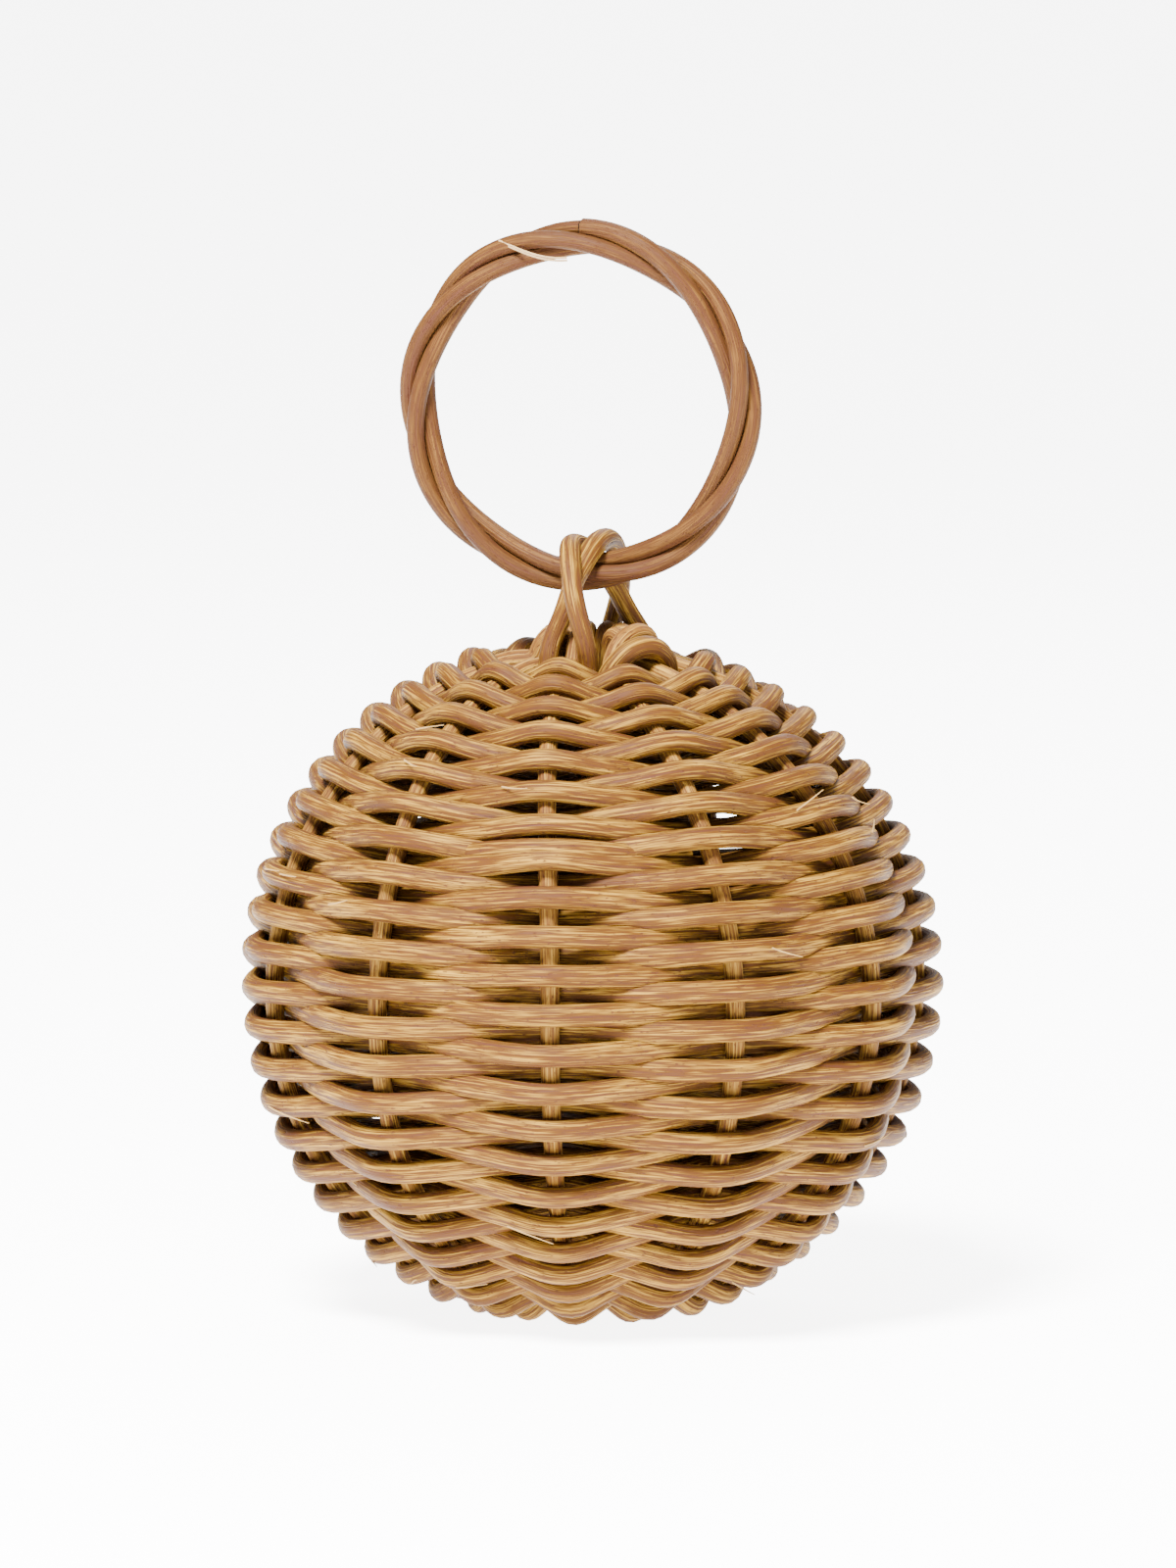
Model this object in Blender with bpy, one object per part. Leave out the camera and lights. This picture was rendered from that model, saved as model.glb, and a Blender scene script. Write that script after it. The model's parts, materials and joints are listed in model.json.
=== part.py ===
"""Hand-woven rattan ball with a twisted hanging ring, in metres with +Z up.

The ball is woven like a basket. Eleven round stakes cross under the base, run up
the wall like meridians and dive into the crown. One reed spirals over and under
them from the base to the crown. Two short strands make a loop on the crown, and
a ring of reed, wound three times round itself, hangs in that loop.

The origin is the middle of the flat spot that the ball stands on.
An azimuth is an angle about +Z that starts at -Y and grows towards +X.
"""

import math

import bpy
from mathutils import Vector

# Wall of the ball
BALL_WIDTH = 0.0800
REED_THICKNESS = 0.0020
STAKE_DIAMETER = 0.0019
CLEARANCE = 0.0003
STAKE_COUNT = 11
FIRST_STAKE_AZIMUTH = math.radians(-6.5)
CROWN_LEAN = math.radians(-9.0)

# Rows of weaving; the half width of a pass is a share of the step between stakes
ROW_PITCH = 0.00206
FIRST_ROW_RADIUS = 0.0089
LAST_ROW_RADIUS = 0.0110
PASS_HALF_WIDTH = 0.15
WEAVER_LENGTHS = ("weaver_lower", "weaver_middle", "weaver_upper")
SPLICE_GAP = 0.0010

# Flat spot under the ball, and the heel that rounds it into the wall
FLAT_RADIUS = 0.0102
HEEL_RADIUS = 0.0140

# Cross of rods in the base
ROD_SPACING = 0.0022
CROSS_REACH = 0.0036
HALF_ROD_REACH = 0.0048
FAN_RADIUS = 0.0080
WALL_STEPS = 15

# Stake ends at the crown; the end of a stake is thinner than the stake
CROWN_POST_RADIUS = 0.0052
CROWN_HOLE_RADIUS = 0.0030
CROWN_POST_RISE = 0.0026
CROWN_TUCK_DEPTH = 0.0035
TUCKED_WIDTH = 0.70

# Loop that holds the ring; it spans the crown from one stake to another
LOOP_FRONT_STAKE = 0
LOOP_BACK_STAKE = 5
LOOP_STRAND_DIAMETER = 0.0020
LOOP_FOOT_RADIUS = 0.0085
LOOP_FOOT_ABOVE_WALL = 0.0010
LOOP_TAIL_DEPTH = 0.0085
LOOP_TAIL_LEAN = 0.0022
LOOP_APEX_SPREAD = 0.0015
LOOP_FOOT_EASING = 4
LOOP_APEX_EASING = 6
LOOP_STEPS = 18

# Hanging ring
RING_WIDTH = 0.0420
RING_REED_DIAMETER = 0.0020
RING_PLIES = 3
RING_TWISTS = 8
RING_TURNED = math.radians(14.6)
RING_FIRST_PLY = math.radians(6.1)
RING_SIDE_SHIFT = -0.0010
RING_ABOVE_CROWN = 0.0038
RING_STEPS_PER_TWIST = 12

# Worked out from the sizes above
WALL_OFFSET = STAKE_DIAMETER / 2 + CLEARANCE + REED_THICKNESS / 2
BASE_HEIGHT = WALL_OFFSET + REED_THICKNESS / 2
SPHERE_RADIUS = BALL_WIDTH / 2 - BASE_HEIGHT
HEEL_DROP = math.sqrt((SPHERE_RADIUS - HEEL_RADIUS) ** 2 - FLAT_RADIUS ** 2)
HEEL_ANGLE = math.atan2(FLAT_RADIUS, HEEL_DROP)
HEEL_LENGTH = HEEL_RADIUS * HEEL_ANGLE
CENTRE_HEIGHT = BASE_HEIGHT + HEEL_RADIUS + HEEL_DROP
STAKE_STEP = 2 * math.pi / STAKE_COUNT
CROWN_ANGLE = math.pi - math.asin(LAST_ROW_RADIUS / SPHERE_RADIUS)
LAST_ROW_ALONG = FLAT_RADIUS + HEEL_LENGTH + SPHERE_RADIUS * (CROWN_ANGLE - HEEL_ANGLE)
ROWS = round((LAST_ROW_ALONG - FIRST_ROW_RADIUS) / ROW_PITCH)
PITCH = (LAST_ROW_ALONG - FIRST_ROW_RADIUS) / ROWS
REED_HEIGHT = PITCH - CLEARANCE
RING_PLY_OFFSET = (RING_REED_DIAMETER + CLEARANCE / 2) / math.sqrt(3)
RING_HALF_THICKNESS = RING_PLY_OFFSET + RING_REED_DIAMETER / 2
RING_RADIUS = RING_WIDTH / 2 - RING_HALF_THICKNESS


def slope_at(along):
    """Angle of the wall at a distance along it from the base's middle: 0 is flat."""
    if along <= FLAT_RADIUS:
        return 0.0
    if along <= FLAT_RADIUS + HEEL_LENGTH:
        return (along - FLAT_RADIUS) / HEEL_RADIUS
    return HEEL_ANGLE + (along - FLAT_RADIUS - HEEL_LENGTH) / SPHERE_RADIUS


def wall_section(along):
    """Radius and height of the stakes' surface at a distance along the wall."""
    slope = slope_at(along)
    if along <= FLAT_RADIUS:
        return along, BASE_HEIGHT
    if slope <= HEEL_ANGLE:
        radius = FLAT_RADIUS + HEEL_RADIUS * math.sin(slope)
        return radius, BASE_HEIGHT + HEEL_RADIUS * (1 - math.cos(slope))
    radius = SPHERE_RADIUS * math.sin(slope)
    return radius, CENTRE_HEIGHT - SPHERE_RADIUS * math.cos(slope)


def along_at_slope(slope):
    """Distance along the wall at which it has turned up by an angle."""
    if slope <= HEEL_ANGLE:
        return FLAT_RADIUS + HEEL_RADIUS * slope
    return FLAT_RADIUS + HEEL_LENGTH + SPHERE_RADIUS * (slope - HEEL_ANGLE)


def along_at_crown(radius):
    """Distance along the wall where it comes back to a radius near the crown."""
    return along_at_slope(math.pi - math.asin(radius / SPHERE_RADIUS))


def lean_at(along):
    """Turn that the hand of the weaver has given the stakes above the equator."""
    above = max(0.0, slope_at(along) - math.pi / 2) / (CROWN_ANGLE - math.pi / 2)
    return CROWN_LEAN * min(above, 1.0) ** 2


def stake_azimuth(number, along):
    """Azimuth of a stake; a number between two whole ones is a place between stakes."""
    return FIRST_STAKE_AZIMUTH + number * STAKE_STEP + lean_at(along)


def radial(azimuth):
    """Level direction away from the axis."""
    return Vector((math.sin(azimuth), -math.cos(azimuth), 0.0))


def at_polar(radius, azimuth, height):
    place = radial(azimuth) * radius
    place.z = height
    return place


def wall_point(number, along, outward=0.0):
    """Place on the wall, moved outward by a distance square to it."""
    radius, height = wall_section(along)
    slope = slope_at(along)
    azimuth = stake_azimuth(number, along)
    moved_height = height - math.cos(slope) * outward
    return at_polar(radius + math.sin(slope) * outward, azimuth, moved_height)


def uphill_at(number, along):
    """Direction that climbs the wall."""
    slope = slope_at(along)
    climb = radial(stake_azimuth(number, along)) * math.cos(slope)
    climb.z = math.sin(slope)
    return climb


def material(name, colour, roughness):
    made = bpy.data.materials.new(name)
    made.use_nodes = True
    shader = made.node_tree.nodes["Principled BSDF"]
    shader.inputs["Base Color"].default_value = (*colour, 1.0)
    shader.inputs["Roughness"].default_value = roughness
    shader.inputs["Metallic"].default_value = 0.0
    return made


def link(name, data, finish):
    data.materials.append(finish)
    made = bpy.data.objects.new(name, data)
    bpy.context.scene.collection.objects.link(made)
    return made


def along_of_pass(number):
    """The weaving reed climbs one row each time it has passed every stake."""
    return FIRST_ROW_RADIUS + PITCH * (number - 1) / STAKE_COUNT


def inside_depth(along):
    """How far the reed swings inside a stake, so that both its runs clear it."""
    run = (1 - PASS_HALF_WIDTH) * STAKE_STEP * wall_section(along)[0]
    return 2 * WALL_OFFSET ** 3 / (run ** 2 - WALL_OFFSET ** 2) + WALL_OFFSET


def weaver_route(first_pass, last_pass):
    """Points of the reed with the wall's uphill direction at its lower edge.

    The reed is outside the even stakes and inside the odd ones. As the stakes
    are an odd number, the next row passes each stake on the other side.
    """
    route = []
    for number in range(first_pass, last_pass + 1):
        if number % 2:
            stops = ((number, -inside_depth(along_of_pass(number))),)
        else:
            stops = (
                (number - PASS_HALF_WIDTH, WALL_OFFSET),
                (number + PASS_HALF_WIDTH, WALL_OFFSET),
            )
        for place, outward in stops:
            along = along_of_pass(number)
            uphill = uphill_at(place, along - REED_HEIGHT / 2)
            route.append((wall_point(place, along, outward), uphill))
    first, last = route[0], route[-1]
    route[0] = (first[0] + (route[1][0] - first[0]).normalized() * SPLICE_GAP / 2, first[1])
    route[-1] = (last[0] + (route[-2][0] - last[0]).normalized() * SPLICE_GAP / 2, last[1])
    return route


def ribbon(name, route, thickness, height, finish):
    """Closed reed of rectangular section along a route, with mitred bends."""
    corners = []
    for index, (point, uphill) in enumerate(route):
        before = route[max(index - 1, 0)][0]
        after = route[min(index + 1, len(route) - 1)][0]
        arriving = (point - before if index else after - point).normalized()
        leaving = (after - point if after != point else point - before).normalized()
        across_arriving = arriving.cross(uphill).normalized()
        across = (across_arriving + leaving.cross(uphill).normalized()).normalized()
        half_across = across * (thickness / 2) / across.dot(across_arriving)
        half_climb = uphill * (height / 2)
        corners.append((
            point + half_across - half_climb,
            point + half_across + half_climb,
            point - half_across + half_climb,
            point - half_across - half_climb,
        ))
    vertices = [corner for ring in corners for corner in ring]
    faces = [(0, 1, 2, 3)]
    for index in range(len(corners) - 1):
        low = 4 * index
        for side in range(4):
            following = (side + 1) % 4
            faces.append((low + side, low + 4 + side, low + 4 + following, low + following))
    end = 4 * (len(corners) - 1)
    faces.append((end + 3, end + 2, end + 1, end))
    mesh = bpy.data.meshes.new(name)
    mesh.from_pydata(vertices, [], faces)
    return link(name, mesh, finish)


def round_reed(name, points, diameter, finish, closed=False, sides_step=1, widths=None):
    """Round reed as a bevelled curve through the points."""
    curve = bpy.data.curves.new(name, "CURVE")
    curve.dimensions = "3D"
    curve.fill_mode = "FULL"
    curve.bevel_depth = diameter / 2
    curve.bevel_resolution = sides_step
    curve.use_fill_caps = not closed
    spline = curve.splines.new("POLY")
    spline.points.add(len(points) - 1)
    for index, point in enumerate(points):
        spline.points[index].co = (*point, 1.0)
        spline.points[index].radius = widths[index] if widths else 1.0
    spline.use_cyclic_u = closed
    return link(name, curve, finish)


def make_weaver(finish):
    """The spiral of weaving reed, in three lengths that meet behind a stake."""
    last_pass = ROWS * STAKE_COUNT + 1
    last_pass -= 1 - last_pass % 2
    pairs = (last_pass - 1) / 2
    share = pairs / len(WEAVER_LENGTHS)
    cuts = [1 + 2 * round(share * index) for index in range(len(WEAVER_LENGTHS) + 1)]
    for name, first_pass, end_pass in zip(WEAVER_LENGTHS, cuts, cuts[1:]):
        route = weaver_route(first_pass, end_pass)
        ribbon(name, route, REED_THICKNESS, REED_HEIGHT, finish)


def stake_run(number):
    """Points and widths of a stake from the base's fan to its tucked end."""
    step = slope_at(along_at_crown(LAST_ROW_RADIUS - REED_THICKNESS)) / WALL_STEPS
    points = [wall_point(number, FAN_RADIUS)]
    points += [wall_point(number, along_at_slope(step * index)) for index in range(WALL_STEPS + 1)]
    azimuth = stake_azimuth(number, LAST_ROW_ALONG)
    middle = (CROWN_POST_RADIUS + CROWN_HOLE_RADIUS) / 2
    bend = (CROWN_POST_RADIUS - CROWN_HOLE_RADIUS) / 2
    wall_height = wall_section(along_at_crown(CROWN_POST_RADIUS))[1]
    top = wall_height + CROWN_POST_RISE
    bend_height = top - bend * (1 - math.sqrt(3) / 2)
    rising = (
        (CROWN_POST_RADIUS + bend, (points[-1].z + wall_height) / 2),
        (CROWN_POST_RADIUS, top - bend),
        (middle + bend / 2, bend_height),
    )
    diving = (
        (middle - bend / 2, bend_height),
        (CROWN_HOLE_RADIUS, top - bend),
        (CROWN_HOLE_RADIUS, wall_height - CROWN_TUCK_DEPTH),
    )
    points += [at_polar(radius, azimuth, height) for radius, height in rising + diving]
    widths = [1.0] * (len(points) - len(diving))
    for count in range(1, len(diving) + 1):
        widths.append(1 - (1 - TUCKED_WIDTH) * count / len(diving))
    return points, widths


def make_stakes(finish):
    """Five rods that cross under the base and one half rod, so eleven stakes.

    Each row names the rod's direction, its place in the cross in rod spacings,
    and the stakes that its positive and negative ends become.
    """
    rods = (
        ("x", 1, 4, 7),
        ("x", 0, 3, 8),
        ("x", -1, 2, 9),
        ("y", 1, 5, 1),
        ("y", -1, 6, 10),
        ("y", 0, None, 0),
    )
    for count, (direction, place, positive, negative) in enumerate(rods, start=1):
        side = place * ROD_SPACING
        lift = ROD_SPACING / 2
        height = BASE_HEIGHT - lift if direction == "x" else BASE_HEIGHT + lift

        def cross_point(reach):
            if direction == "x":
                return Vector((reach, side, height))
            return Vector((side, reach, height))

        points, widths = stake_run(negative)
        points = points[::-1] + [cross_point(-CROSS_REACH)]
        widths = widths[::-1] + [1.0]
        if positive is None:
            points.append(cross_point(HALF_ROD_REACH))
            widths.append(1.0)
        else:
            far_points, far_widths = stake_run(positive)
            points += [cross_point(CROSS_REACH)] + far_points
            widths += [1.0] + far_widths
        round_reed(f"stake_rod_{count}", points, STAKE_DIAMETER, finish, sides_step=0, widths=widths)


def ring_centre():
    """The ring's lower arc bears on the loop, just under its apex."""
    post_height = wall_section(along_at_crown(CROWN_POST_RADIUS))[1] + CROWN_POST_RISE
    lowest = post_height + STAKE_DIAMETER / 2 + RING_ABOVE_CROWN
    return Vector((RING_SIDE_SHIFT, 0.0, lowest + RING_WIDTH / 2))


def make_ring(finish):
    """One reed wound round itself three times, so that it closes after eight twists."""
    centre = ring_centre()
    sideways = Vector((math.cos(RING_TURNED), -math.sin(RING_TURNED), 0.0))
    upward = Vector((0.0, 0.0, 1.0))
    facing = sideways.cross(upward)
    points = []
    steps = RING_TWISTS * RING_STEPS_PER_TWIST
    for index in range(steps):
        round_ring = 2 * math.pi * RING_PLIES * index / steps
        twist = RING_TWISTS / RING_PLIES * (round_ring - RING_FIRST_PLY)
        reach = RING_RADIUS + RING_PLY_OFFSET * math.cos(twist)
        outward = sideways * math.sin(round_ring) + upward * math.cos(round_ring)
        points.append(centre + outward * reach + facing * RING_PLY_OFFSET * math.sin(twist))
    round_reed("hanging_ring", points, RING_REED_DIAMETER, finish, closed=True)


def loop_points(side):
    """One strand of the loop: tail, foot, arch with a full twist, foot and tail.

    The feet stand in the gaps on both sides of a stake in front, and in the two
    gaps across the crown behind. Side is +1 or -1 for the two strands.
    """
    front_gap = LOOP_FRONT_STAKE + side / 2
    back_gap = LOOP_BACK_STAKE - side / 2
    foot_height = wall_section(along_at_crown(LOOP_FOOT_RADIUS))[1] + LOOP_FOOT_ABOVE_WALL
    apex = ring_centre().z - RING_RADIUS
    apex += RING_HALF_THICKNESS + LOOP_STRAND_DIAMETER / 2 + CLEARANCE
    foot_middle = LOOP_FOOT_RADIUS * math.cos(STAKE_STEP / 2)
    front = radial(stake_azimuth(LOOP_FRONT_STAKE, LAST_ROW_ALONG)) * foot_middle
    back = radial(stake_azimuth(LOOP_BACK_STAKE, LAST_ROW_ALONG)) * foot_middle
    foot_spread = LOOP_FOOT_RADIUS * math.sin(STAKE_STEP / 2)
    crossing_spread = (LOOP_STRAND_DIAMETER + CLEARANCE) / 2
    across = Vector(((back - front).y, (front - back).x, 0.0)).normalized()
    points = []
    for gap, ordering in ((front_gap, 1), (back_gap, -1)):
        azimuth = stake_azimuth(gap, LAST_ROW_ALONG)
        tail = [
            at_polar(LOOP_FOOT_RADIUS - LOOP_TAIL_LEAN, azimuth, foot_height - LOOP_TAIL_DEPTH),
            at_polar(LOOP_FOOT_RADIUS, azimuth, foot_height - LOOP_TAIL_DEPTH / 3),
        ]
        points.append(tail[::ordering])
    arch = []
    for index in range(LOOP_STEPS + 1):
        turned = math.pi * index / LOOP_STEPS
        towards = math.cos(turned)
        middle = front * (towards ** 2 + towards) / 2 + back * (towards ** 2 - towards) / 2
        middle.z = foot_height + (apex - foot_height) * math.sin(turned)
        outward = (middle - Vector((0.0, 0.0, foot_height))).normalized()
        near_foot = towards ** LOOP_FOOT_EASING
        near_apex = math.sin(turned) ** LOOP_APEX_EASING
        spread = crossing_spread + (foot_spread - crossing_spread) * near_foot
        spread += (LOOP_APEX_SPREAD - crossing_spread) * near_apex
        twist = 2 * turned
        offset = across * math.cos(twist) + outward * math.sin(twist)
        arch.append(middle + offset * spread * side)
    return points[0] + arch + points[1]


def make_loop(finish):
    """Two strands twisted round each other over the crown."""
    for name, side in (("loop_strand_a", 1), ("loop_strand_b", -1)):
        round_reed(name, loop_points(side), LOOP_STRAND_DIAMETER, finish)


def main():
    for leftover in list(bpy.data.objects):
        bpy.data.objects.remove(leftover, do_unlink=True)
    make_weaver(material("weaving_reed", (0.53, 0.29, 0.12), 0.5))
    make_stakes(material("stake_reed", (0.50, 0.27, 0.11), 0.5))
    make_loop(material("loop_reed", (0.55, 0.31, 0.13), 0.5))
    make_ring(material("ring_reed", (0.47, 0.24, 0.09), 0.48))


main()
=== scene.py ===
# %% [markdown]
# # A hand-woven rattan ball with its hanging ring
#
# The real ball is a small basket that closes on itself. Eleven stakes cross under the
# base, run up like the meridians of a globe and dive into the crown. One long reed
# spirals over and under them. A twisted loop on the crown holds a ring of reed.
#
# Such a ball could be a sphere with a woven bump texture, but then no light would show
# between the rows and the outline would be smooth. Here every reed is a curve that
# follows a rule, swept with an almost round section. Geometry Nodes do the sweeping, so
# one tree serves all the pieces and each has its own sizes.

# %% Load the frame
import json
import math
import random

import bpy
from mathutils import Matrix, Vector

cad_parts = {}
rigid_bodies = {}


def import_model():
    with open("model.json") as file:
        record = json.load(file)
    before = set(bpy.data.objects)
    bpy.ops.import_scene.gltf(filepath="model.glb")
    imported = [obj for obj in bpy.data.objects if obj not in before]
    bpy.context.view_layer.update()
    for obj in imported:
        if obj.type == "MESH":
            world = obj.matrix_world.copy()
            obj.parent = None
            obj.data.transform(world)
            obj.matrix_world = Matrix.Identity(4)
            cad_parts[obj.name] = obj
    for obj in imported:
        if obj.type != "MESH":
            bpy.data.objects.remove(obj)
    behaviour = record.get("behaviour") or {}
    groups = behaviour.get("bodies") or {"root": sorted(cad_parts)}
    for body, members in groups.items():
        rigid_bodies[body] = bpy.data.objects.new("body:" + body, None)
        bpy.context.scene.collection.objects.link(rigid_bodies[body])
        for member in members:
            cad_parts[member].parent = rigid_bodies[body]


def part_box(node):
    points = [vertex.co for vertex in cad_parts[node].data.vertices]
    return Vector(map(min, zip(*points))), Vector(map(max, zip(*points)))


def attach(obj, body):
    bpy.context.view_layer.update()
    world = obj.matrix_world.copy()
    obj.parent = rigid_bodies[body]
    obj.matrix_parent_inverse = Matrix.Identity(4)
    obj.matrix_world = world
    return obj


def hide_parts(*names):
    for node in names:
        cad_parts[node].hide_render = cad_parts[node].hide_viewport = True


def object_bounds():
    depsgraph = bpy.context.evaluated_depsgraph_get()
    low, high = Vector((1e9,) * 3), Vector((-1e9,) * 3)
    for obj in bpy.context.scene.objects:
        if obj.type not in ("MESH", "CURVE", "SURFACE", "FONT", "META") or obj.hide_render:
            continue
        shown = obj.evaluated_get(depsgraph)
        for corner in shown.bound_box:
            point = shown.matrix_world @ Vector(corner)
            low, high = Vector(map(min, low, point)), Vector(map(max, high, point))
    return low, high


for leftover in list(bpy.data.objects):
    bpy.data.objects.remove(leftover, do_unlink=True)
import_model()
CAD_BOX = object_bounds()
print("CAD box", CAD_BOX)

# %% [markdown]
# ## Writing node maths as Python
#
# The weave's rule and the reed's colours are both formulas. Placing each Math node by
# hand hides a formula, so a small class wraps a socket and turns `+`, `*` and the rest
# into nodes. The same functions then work on plain numbers and on sockets.

# %% A socket that does maths
class Flow:
    """A number or vector that flows through a node tree."""

    def __init__(self, wires, socket):
        self.wires = wires
        self.socket = socket

    def maths(self, operation, *others):
        """This flow and the others through one Math node."""
        numbers = dict(enumerate((self, *others)))
        return self.wires.add("ShaderNodeMath", {"operation": operation}, numbers)

    def __add__(self, other):
        return self.maths("ADD", other)

    def __sub__(self, other):
        return self.maths("SUBTRACT", other)

    def __mul__(self, other):
        return self.maths("MULTIPLY", other)

    def __truediv__(self, other):
        return self.maths("DIVIDE", other)

    def __rsub__(self, other):
        return self.wires.add("ShaderNodeMath", {"operation": "SUBTRACT"}, {0: other, 1: self})

    def __neg__(self):
        return self * -1.0

    __radd__ = __add__
    __rmul__ = __mul__


class Wires:
    """Adds nodes to one tree."""

    def __init__(self, tree):
        self.tree = tree

    def node(self, kind, settings=None, inputs=None):
        """One node: its settings are set first, then the values or links of its sockets."""
        made = self.tree.nodes.new(kind)
        for name, value in (settings or {}).items():
            setattr(made, name, value)
        for name, value in (inputs or {}).items():
            if isinstance(value, Flow):
                self.tree.links.new(value.socket, made.inputs[name])
            else:
                made.inputs[name].default_value = value
        return made

    def add(self, kind, settings=None, inputs=None, output=0):
        """One node, given back as its output's flow."""
        return Flow(self, self.node(kind, settings, inputs).outputs[output])

    def vector(self, x, y, z):
        """Three numbers or flows as one vector."""
        return self.add("ShaderNodeCombineXYZ", None, {"X": x, "Y": y, "Z": z})

    def vector_maths(self, operation, inputs):
        """One Vector Math node."""
        return self.add("ShaderNodeVectorMath", {"operation": operation}, inputs)


def apply_rule(flow_operation, plain):
    """A function that works on numbers, and adds a Math node for a flow."""
    def rule(first, *others):
        if isinstance(first, Flow):
            return first.maths(flow_operation, *others)
        return plain(first, *others)
    return rule


sine = apply_rule("SINE", math.sin)
cosine = apply_rule("COSINE", math.cos)
lesser = apply_rule("MINIMUM", min)
greater = apply_rule("MAXIMUM", max)


def limited(value):
    """A number or flow that is kept between 0 and 1."""
    return lesser(greater(value, 0.0), 1.0)


print("on plain numbers, lesser(3, 2) is", lesser(3, 2))

# %% [markdown]
# ## The wall of the ball
#
# The stakes lie in a surface that is flat underneath, rounded by a heel and then a
# sphere. It could be a mesh to which the reeds are snapped, but a rule is exact, and
# everything that is woven can ask it for a place. A place has a number that counts the
# stakes from the front one, which is 0 (2.5 is halfway between 2 and 3), and a distance
# along the wall from the middle of the base. The wall repeats the sizes of the solids,
# so that the dressed ball fills the same space. The reeds are a little thicker than the
# solids, because they may press on each other and solids keep a gap.

# %% Sizes of the wall, in metres
MM = 0.001
BALL_WIDTH = 0.0800
STAKE_DIAMETER = 0.00212
REED_DIAMETER = 0.0022
REED_TALLNESS = 1.15
STAKE_COUNT = 11
STAKE_STEP = 2 * math.pi / STAKE_COUNT
FIRST_STAKE_AZIMUTH = math.radians(-6.5)
CROWN_LEAN = math.radians(-9.0)
BASE_HEIGHT = 0.00325
SPHERE_RADIUS = BALL_WIDTH / 2 - BASE_HEIGHT
FLAT_RADIUS = 0.0102
HEEL_RADIUS = 0.0140
FIRST_ROW_RADIUS = 0.0089
LAST_ROW_RADIUS = 0.0110
ROW_PITCH = 0.00206
HEEL_DROP = math.sqrt((SPHERE_RADIUS - HEEL_RADIUS) ** 2 - FLAT_RADIUS ** 2)
HEEL_ANGLE = math.atan2(FLAT_RADIUS, HEEL_DROP)
HEEL_LENGTH = HEEL_RADIUS * HEEL_ANGLE
CROWN_ANGLE = math.pi - math.asin(LAST_ROW_RADIUS / SPHERE_RADIUS)


def along_at_slope(slope):
    """Distance along the wall at which it has turned up by an angle."""
    if slope <= HEEL_ANGLE:
        return FLAT_RADIUS + HEEL_RADIUS * slope
    return FLAT_RADIUS + HEEL_LENGTH + SPHERE_RADIUS * (slope - HEEL_ANGLE)


def along_at_crown(radius):
    """Distance along the wall where it comes back to a radius near the crown."""
    return along_at_slope(math.pi - math.asin(radius / SPHERE_RADIUS))


LAST_ROW_ALONG = along_at_slope(CROWN_ANGLE)
ROWS = round((LAST_ROW_ALONG - FIRST_ROW_RADIUS) / ROW_PITCH)
PITCH = (LAST_ROW_ALONG - FIRST_ROW_RADIUS) / ROWS
print("rows of weaving", ROWS, "pitch mm", round(PITCH / MM, 3))


# %% The wall's rule, for numbers and for nodes
def wall_shape(along):
    """Radius, height and slope of the stakes' surface at a distance along the wall."""
    heel = lesser(greater(along - FLAT_RADIUS, 0.0) / HEEL_RADIUS, HEEL_ANGLE)
    sphere = greater(along - (FLAT_RADIUS + HEEL_LENGTH), 0.0) / SPHERE_RADIUS
    slope = heel + sphere
    radius = lesser(along, FLAT_RADIUS) + HEEL_RADIUS * sine(heel)
    radius = radius + SPHERE_RADIUS * (sine(slope) - sine(heel))
    height = BASE_HEIGHT + HEEL_RADIUS * (1.0 - cosine(heel))
    height = height + SPHERE_RADIUS * (cosine(heel) - cosine(slope))
    return radius, height, slope


def crown_share(slope):
    """How far the wall has come from the equator, 0, to the crown, 1."""
    return limited((slope - math.pi / 2) / (CROWN_ANGLE - math.pi / 2))


def stake_azimuth(number, slope):
    """Azimuth of a place among the stakes, which lean a little towards the crown."""
    above = crown_share(slope)
    return FIRST_STAKE_AZIMUTH + number * STAKE_STEP + CROWN_LEAN * above * above


def wall_place(number, along, outward=0.0, uphill=0.0):
    """X, Y and Z of a place on the wall, moved square to it and up along it."""
    radius, height, slope = wall_shape(along)
    azimuth = stake_azimuth(number, slope)
    reach = radius + sine(slope) * outward + cosine(slope) * uphill
    level = height - cosine(slope) * outward + sine(slope) * uphill
    return sine(azimuth) * reach, -cosine(azimuth) * reach, level


def along_of_pass(number):
    """Distance along the wall that the spiral has reached at a stake."""
    return FIRST_ROW_RADIUS + (number - 1.0) * (PITCH / STAKE_COUNT)


print("top of the stakes' surface", round(wall_shape(LAST_ROW_ALONG)[1], 4))

# %% [markdown]
# ## One tree that sweeps a reed
#
# Core reed is round, but no two metres are the same: it swells and thins, its fibres
# leave faint flats, and a damp reed that is packed down hard ends up a little taller
# than wide. A curve's own bevel would give a perfect tube, and nothing on it would tell
# a material where along the reed it is. So the tree takes a curve, lets its radius
# wander and sweeps a circle along it.
#
# It stores a `fibre` attribute, which is where each point lies in the reed's section
# and how far along the reed it is: the material draws its grain there. A second one,
# `thin`, marks the hair-thin fibres that have come loose, which are paler.

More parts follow.
